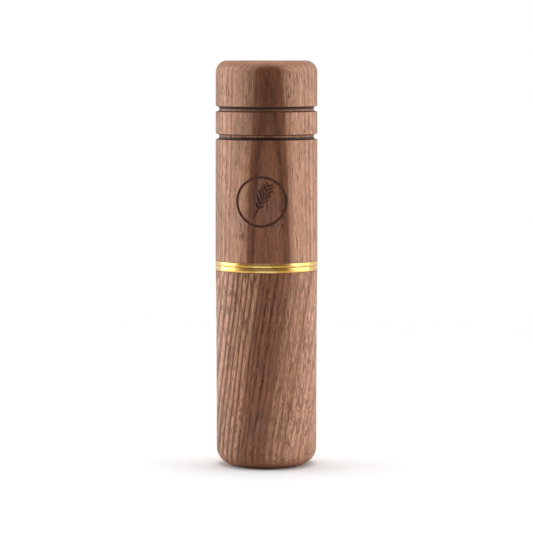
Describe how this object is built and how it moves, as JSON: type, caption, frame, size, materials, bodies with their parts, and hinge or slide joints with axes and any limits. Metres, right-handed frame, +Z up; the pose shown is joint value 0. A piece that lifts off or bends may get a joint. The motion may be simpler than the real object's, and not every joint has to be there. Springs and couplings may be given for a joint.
{
  "type": "duck call",
  "caption": "Turned wooden duck call: barrel with dished mouthpiece and two cord grooves, brass bands at the joint, insert with flared exhaust, tone board, reeds, cork wedge and O-rings inside.",
  "frame": {"origin": "centre of the exhaust end's face, where the call stands, on its axis", "axes": "+Z up the call's axis to the mouthpiece; -Y is the front, with the emblem and the reeds; +X is to the right of someone looking at the emblem"},
  "size_m": [0.0324, 0.0324, 0.128],
  "materials": {
    "barrel_walnut": "oiled walnut, satin",
    "insert_walnut": "oiled figured walnut, satin",
    "brass": "turned and polished",
    "moulded_board": "moulded, satin gloss",
    "cork": "cut natural cork",
    "reed_film": "frosted polyester film",
    "seal_rubber": "black nitrile"
  },
  "bodies": {
    "insert": {"insert": "insert_walnut", "insert_band": "brass", "tone_board": "moulded_board", "cork_wedge": "cork"},
    "seals": {"lower_o_ring": "seal_rubber", "upper_o_ring": "seal_rubber"},
    "barrel": {"barrel": "barrel_walnut", "barrel_band": "brass"},
    "reeds": {"long_reed": "reed_film", "short_reed": "reed_film"}
  },
  "joints": [
    {"name": "barrel_twist", "type": "hinge", "parent": "insert", "child": "seals", "pos_m": [0, 0, 0.0691], "axis": [0, 0, 1], "continuous": true},
    {"name": "barrel_pull", "type": "slide", "parent": "seals", "child": "barrel", "axis": [0, 0, 1], "range_m": [0, 0.07]},
    {"name": "reed_flex", "type": "hinge", "parent": "insert", "child": "reeds", "pos_m": [0, -0.00025, 0.07501], "axis": [-1, 0, 0], "range_deg": [0, 0.8], "stiffness_Nm_per_rad": 0.0146}
  ]
}
